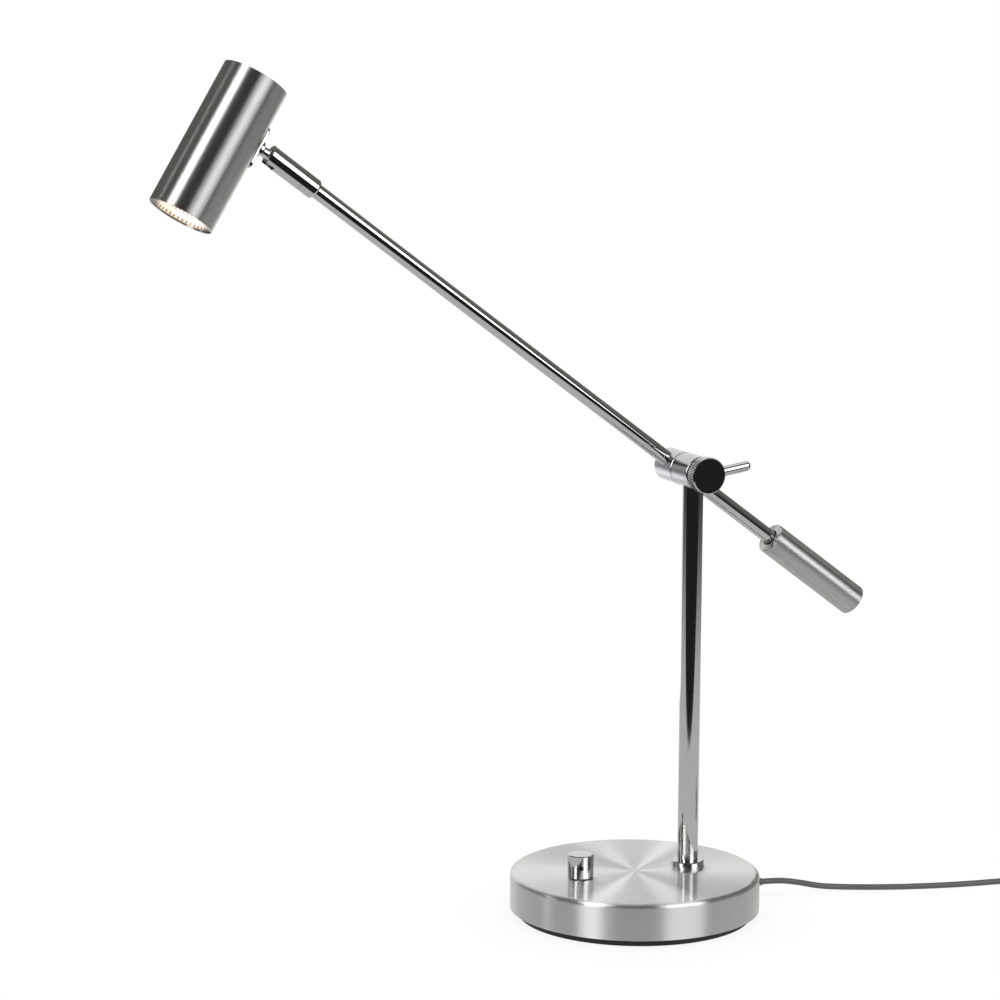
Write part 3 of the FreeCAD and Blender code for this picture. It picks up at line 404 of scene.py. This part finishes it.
def coated(name, colour, roughness, grain=350.0, depth=0.15, specks=0.35, **values):
    """Moulded or cast surface: mottled colour, uneven gloss and a fine grain."""
    material, graph, shader = principled(name, colour, **values)
    place = graph.object_coords()
    cloud = graph.noise(place, 45.0, 4.0)
    fine = graph.noise(place, grain, 3.0, 0.6)
    gloss = graph.remap(cloud, 0.3, 0.7, roughness - 0.06, roughness + 0.08)
    graph.feed(shader.inputs["Roughness"], gloss)
    mottle = graph.remap(graph.weighted(cloud, 0.5, fine, 0.5), 0.3, 0.7, 0, 1)
    tone = graph.blend(mottle, rgba(colour, 1 - specks), rgba(colour, 1 + specks))
    graph.feed(shader.inputs["Base Color"], tone)
    bump(graph, shader, fine, depth, GRAIN_HEIGHT)
    return material


def facet_gaps(graph, offset, along):
    """1 in the dark gap at each facet, 0 elsewhere. Every second row is half a facet round."""
    first = graph.dot(offset, NECK_DIR)
    second = graph.dot(offset, SHADE_AXIS.cross(NECK_DIR))
    turn = graph.math("DIVIDE", graph.math("ARCTAN2", second, first), 2 * pi / FACET_COUNT)
    row = graph.math("DIVIDE", graph.math("SUBTRACT", along, GAP_START_Z), GAP_ROW)
    half_turn = graph.math("MULTIPLY", graph.math("FLOOR", row), 0.5)
    wide = graph.from_middle(graph.math("ADD", turn, half_turn))
    spot = graph.weighted(wide, 1.9, graph.from_middle(row), 1.6)
    gap = graph.remap(spot, 0.40, 0.56, 1.0, 0.0, smooth=True)
    behind_rim = graph.remap(along, GAP_NONE_Z, GAP_FULL_Z, 0.0, 1.0)
    return graph.math("MULTIPLY", gap, behind_rim)


def lit_reflector():
    """Painted glow of the reflector bowl, standing in for its capsule's light: cream where it
    faces the view, amber in its gaps.
    """
    material, graph, shader = principled("reflector", BOWL_METAL, metallic=1.0)
    offset, along, _, radius = graph.around(SHADE_AT, SHADE_AXIS)
    turned_away = graph.node("ShaderNodeLayerWeight", {"Blend": 0.5}).outputs["Facing"]
    gap = graph.math("MULTIPLY", facet_gaps(graph, offset, along),
                     graph.remap(turned_away, 0.42, 0.62, 1.0, 0.0, smooth=True))
    rim = graph.remap(along, RIM_DIM_Z, RIM_BRIGHT_Z, 0.35, 1.0, smooth=True)
    glow = graph.remap(turned_away, 0.22, 0.62, 1.0, 0.10, smooth=True)
    inputs = shader.inputs
    # Painted glow: cream on the facets, amber in the gaps between them
    graph.feed(inputs["Emission Color"], graph.blend(gap, rgba(CREAM_GLOW), rgba(AMBER_GLOW)))
    graph.feed(inputs["Base Color"], graph.blend(gap, rgba(BOWL_METAL), rgba(GAP_METAL)))
    graph.feed(inputs["Emission Strength"], graph.math("MULTIPLY", rim, glow))
    graph.feed(inputs["Roughness"], graph.remap(radius, 0.009, 0.023, 0.10, 0.22))
    return material


def lamp_glass():
    material, graph, shader = principled("lamp_glass", (1, 1, 1), transmission_weight=1.0,
                                         ior=1.08)
    dust = graph.noise(graph.object_coords(), 220.0, 3.0)
    graph.feed(shader.inputs["Roughness"], graph.remap(dust, 0.5, 0.8, 0.01, 0.10))
    return material


def lit_capsule():
    material, graph, shader = principled("lit_capsule", (1.0, 0.93, 0.84), roughness=0.3,
                                         emission_strength=3.0)
    hot = graph.remap(graph.noise(graph.object_coords(), 420.0, 2.0), 0.35, 0.65, 0, 1)
    glow = graph.blend(hot, (1.0, 0.74, 0.45, 1), (1.0, 0.88, 0.68, 1))
    graph.feed(shader.inputs["Emission Color"], glow)
    return material


def make_materials():
    """Every finish by its name here. Blender may number the name of the material itself."""
    return {
        "brushed_steel": brushed("brushed_steel", STEEL, Vector((0, 0, 0)), Z, 0.35,
                                 coat_weight=0.7, coat_roughness=0.03),
        "satin_shade": brushed("satin_shade", SATIN, SHADE_AT, SHADE_AXIS, 0.41),
        "satin_weight": brushed("satin_weight", SATIN, ARM_AT, ARM_DIR, 0.35),
        "chrome": polished("chrome", CHROME),
        "arm_chrome": polished("arm_chrome", CHROME, tube=(ARM_AT, ARM_DIR, ARM_R)),
        "drum_chrome": polished("drum_chrome", DRUM_CHROME, 0.20),
        "small_chrome": polished("small_chrome", CHROME, 0.13),
        "screw_chrome": polished("screw_chrome", (0.30, 0.30, 0.305), 0.11),
        "strip_chrome": strip_chrome(),
        "knurl": knurled(),
        "plated_steel": polished("plated_steel", (0.58, 0.58, 0.57), 0.24, 0.05),
        "black_steel": coated("black_steel", (0.035, 0.034, 0.033), 0.42, metallic=0.6),
        "cast_iron": coated("cast_iron", (0.05, 0.048, 0.046), 0.62, 180.0, 0.5, metallic=0.3),
        "black_rubber": coated("black_rubber", (0.012, 0.0115, 0.011), 0.6, 500.0, 0.25),
        "black_nylon": coated("black_nylon", (0.018, 0.018, 0.019), 0.42),
        "brass": polished("brass", (0.78, 0.56, 0.26), 0.2, 0.05),
        "grey_pvc": coated("grey_pvc", (0.104, 0.107, 0.105), 0.42, 420.0, 0.12, 0.12),
        "plug_pin": polished("plug_pin", (0.66, 0.65, 0.62), 0.16, 0.03),
        "ceramic": coated("ceramic", (0.80, 0.78, 0.73), 0.35, 260.0, 0.08, 0.06),
        "reflector": lit_reflector(),
        "lamp_glass": lamp_glass(),
        "lit_capsule": lit_capsule(),
    }


# Pieces with a finish of their own within their slot
OWN_FINISH = {
    "ball_stem": "small_chrome",
    "bracket_screws": "screw_chrome",
    "arm_hub": "drum_chrome",
    "pole_head": "drum_chrome",
    "arm_tube": "arm_chrome",
    "head_strip": "strip_chrome",
}


# ---- Lamp optics ----

def make_facets():
    """The reflector's pressed facets, just inside the lamp's bowl."""
    build = bmesh.new()
    rows = []
    for ring in range(FACET_RINGS + 1):
        share = ring / FACET_RINGS
        radius = (BOWL_NECK_R + (BOWL_RIM_R - BOWL_NECK_R) * share
                  + BOWL_SWELL * sin(pi * share))
        height = BOWL_NECK_Z + (BOWL_RIM_Z - BOWL_NECK_Z) * share ** BOWL_CURVE
        shift = 0.5 * (ring % 2)
        row = []
        for k in range(FACET_COUNT):
            angle = 2 * pi * (k + shift) / FACET_COUNT
            row.append(build.verts.new((radius * cos(angle), radius * sin(angle), height)))
        rows.append(row)
    for ring, (inner, outer) in enumerate(zip(rows, rows[1:])):
        halves = ((0, 2, 3), (0, 1, 2)) if ring % 2 else ((0, 1, 3), (1, 2, 3))
        for k in range(FACET_COUNT):
            after = (k + 1) % FACET_COUNT
            corners = (inner[k], inner[after], outer[after], outer[k])
            for half in halves:
                build.faces.new([corners[i] for i in half])
    build.transform(Matrix.Translation(SHADE_AT) @ NECK_TURN.to_4x4())
    facets = add_mesh("reflector_facets", build)
    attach(facets, "head")
    return facets


# ---- Clamp knob ----

def make_knob():
    """Clamp knob with its bevelled face, its knurl and the dark neck behind it."""
    build = bmesh.new()
    count = 2 * KNURLS
    rows = []
    for depth, radius, knurl in KNOB_PROFILE:
        row = []
        for k in range(count):
            angle = pi * k / KNURLS
            reach = radius - knurl * (k % 2)
            place = Vector((reach * cos(angle), KNOB_FACE_Y + depth, reach * sin(angle)))
            row.append(build.verts.new(BARREL_AT + place))
        rows.append(row)
    for band, (front, back) in enumerate(zip(rows, rows[1:])):
        for i in range(count):
            j = (i + 1) % count
            face = build.faces.new((front[i], front[j], back[j], back[i]))
            face.smooth = band != KNURL_BAND
            if band == KNURL_BAND:
                face.material_index = KNOB_MATERIALS.index("knurl")
            elif band in NECK_BANDS:
                face.material_index = KNOB_MATERIALS.index("black_nylon")
    build.faces.new(rows[0])
    build.faces.new(rows[-1][::-1]).material_index = KNOB_MATERIALS.index("black_nylon")
    for edge in build.edges:
        if abs(edge.verts[0].co.y - edge.verts[1].co.y) < 1e-7:
            edge.smooth = False
    bmesh.ops.recalc_face_normals(build, faces=build.faces)
    knob = add_mesh("knurled_knob", build)
    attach(knob, "clamp")
    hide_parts("clamp_knob")
    return knob


# ---- Camera ----

CAMERA_AT = Vector((-1.22474, -2.39546, 0.77575))
CAMERA_TURN = radians(-24.74)
CAMERA_DOWN = radians(9.3)
CAMERA_ROLL = radians(0.33)
CAMERA_LENS = 124.44
CAMERA_WAY = Vector((sin(CAMERA_TURN), -cos(CAMERA_TURN), 0))
CAMERA_RIGHT = Vector((cos(CAMERA_TURN), sin(CAMERA_TURN), 0))


def add_camera():
    data = bpy.data.cameras.new("camera")
    data.lens = CAMERA_LENS
    data.sensor_width = 36
    data.clip_end = 100
    forward = Vector((-sin(CAMERA_TURN) * cos(CAMERA_DOWN),
                      cos(CAMERA_TURN) * cos(CAMERA_DOWN), -sin(CAMERA_DOWN)))
    up = CAMERA_RIGHT.cross(forward)
    right = CAMERA_RIGHT * cos(CAMERA_ROLL) + up * sin(CAMERA_ROLL)
    up = up * cos(CAMERA_ROLL) - CAMERA_RIGHT * sin(CAMERA_ROLL)
    turn = Matrix((right, up, -forward)).transposed().to_4x4()
    camera = add_object("camera", data)
    camera.matrix_world = Matrix.Translation(CAMERA_AT) @ turn
    scene.camera = camera


# ---- Studio ----

STUDIO_AT = Vector((-0.05, 0, 0.3))
FAR_SOFTBOXES = [  # name, azimuth, elevation, distance, width, height, radiance
    ("left_softbox", -44, 34, 2.4, 0.88, 2.2, 5.2),
    ("right_softbox", 48, 26, 1.9, 1.3, 1.3, 4.0),
    ("left_strip", -89, 12, 2.4, 0.16, 0.9, 3.5),
]
NEAR_SOFTBOXES = [  # name, place, facing, width, height, radiance
    ("back_card", Vector((0.16, 0.64, 0.50)), Y, 0.88, 0.94, 0.80),
    ("top_softbox", Vector((0.3, 0.35, 1.7)), Z, 1.3, 0.9, 1.1),
]

# The room that metal sees: its radiance toward the camera and behind the lamp, and its tint
ROOM_FRONT = 0.058
ROOM_BACK = 0.19
ROOM_TINT = (1.0, 0.985, 0.93)

# The glowing table that metal sees: its front edge, its skew, its reach and its radiance
TABLE_FRONT = 0.565
TABLE_EDGE = 0.03
TABLE_SKEW = 0.086
TABLE_REACH = 1.35
TABLE_GLOW = 0.68
TABLE_FAR_GLOW = 0.02
TABLE_HALF = 4.0

# Soft contact shadow on the table: its reach and how white its darkest part is
SHADOW_REACH = 0.07
SHADOW_WHITE = 0.90


def from_camera(azimuth, elevation):
    """Direction to a light: azimuth from the camera's side of the lamp, positive to its right."""
    level = CAMERA_WAY * cos(radians(azimuth)) + CAMERA_RIGHT * sin(radians(azimuth))
    return level * cos(radians(elevation)) + Z * sin(radians(elevation))


def add_softbox(name, place, facing, width, height, radiance):
    """Rectangular light. facing is the way from what it lights to the light."""
    data = bpy.data.lights.new(name, "AREA")
    data.shape = "RECTANGLE"
    data.size = width
    data.size_y = height
    data.energy = radiance * pi * width * height
    light = add_object(name, data)
    light.rotation_euler = facing.to_track_quat("Z", "Y").to_euler()
    light.location = place
    light.visible_camera = False


def add_lights():
    for name, azimuth, elevation, distance, *rest in FAR_SOFTBOXES:
        way = from_camera(azimuth, elevation)
        add_softbox(name, STUDIO_AT + way * distance, way, *rest)
    for softbox in NEAR_SOFTBOXES:
        add_softbox(*softbox)


def make_world():
    """White to the camera. To the metal, a dim room that is lighter behind the lamp."""
    world = bpy.data.worlds.new("studio")
    world.use_nodes = True
    scene.world = world
    graph = Graph(world.node_tree)
    way = graph.node("ShaderNodeTexCoord").outputs["Generated"]
    side = graph.remap(graph.dot(way, CAMERA_WAY), 0.60, -0.25, ROOM_FRONT, ROOM_BACK,
                       smooth=True)
    above_floor = graph.remap(graph.dot(way, Z), 0.0, 0.07, 0.5, 1.0, smooth=True)
    room = graph.scaled(ROOM_TINT, graph.math("MULTIPLY", side, above_floor))
    colour = graph.blend(graph.seen_directly(), room, (1, 1, 1, 1))
    background = graph.node("ShaderNodeBackground", {"Color": colour, "Strength": 1.0})
    graph.output("ShaderNodeOutputWorld", background)


def make_floor():
    """White table with a soft contact shadow. In reflections it fades out away from the lamp."""
    mesh = bpy.data.meshes.new("table")
    half = TABLE_HALF
    corners = [(-half, -half, 0), (half, -half, 0), (half, half, 0), (-half, half, 0)]
    mesh.from_pydata(corners, [], [(0, 1, 2, 3)])
    table = add_object("table", mesh)
    material, graph = new_material("white_table")
    place = graph.object_coords()
    toward = graph.dot(place, CAMERA_WAY - CAMERA_RIGHT * TABLE_SKEW)
    reach = graph.math("DIVIDE", graph.vector("LENGTH", place), TABLE_REACH)
    fall = graph.math("ADD", graph.math("POWER", reach, 5.0), 1.0)
    front = graph.remap(toward, TABLE_FRONT - TABLE_EDGE, TABLE_FRONT + TABLE_EDGE, 1.0, 0.0,
                        smooth=True)
    lit = graph.math("MULTIPLY", graph.math("DIVIDE", TABLE_GLOW, fall), front)
    reflected = graph.math("ADD", lit, TABLE_FAR_GLOW)
    shadow = graph.node("ShaderNodeAmbientOcclusion", {"Distance": SHADOW_REACH}, samples=8)
    white = graph.remap(shadow.outputs["AO"], 0.0, 1.0, SHADOW_WHITE, 1.0)
    strength = graph.node("ShaderNodeMix", {"Factor": graph.seen_directly()}, data_type="FLOAT")
    graph.feed(strength.inputs[2], reflected)
    graph.feed(strength.inputs[3], white)
    glow = graph.node("ShaderNodeEmission", {"Color": (1, 1, 1, 1),
                                             "Strength": strength.outputs[0]})
    graph.output("ShaderNodeOutputMaterial", glow)
    paint(table, material)


def main():
    materials = make_materials()
    for piece in frame["record"]["subparts"]:
        finish = OWN_FINISH.get(piece["node"], piece["material_slot"])
        paint(nodes[piece["node"]], materials[finish])
    paint(make_cord(), materials["grey_pvc"])
    paint(make_facets(), materials["reflector"])
    knob = make_knob()
    for name in KNOB_MATERIALS:
        knob.data.materials.append(materials[name])
    scene.view_settings.view_transform = "Standard"
    add_camera()
    make_world()
    make_floor()
    add_lights()


main()
bpy.context.view_layer.update()
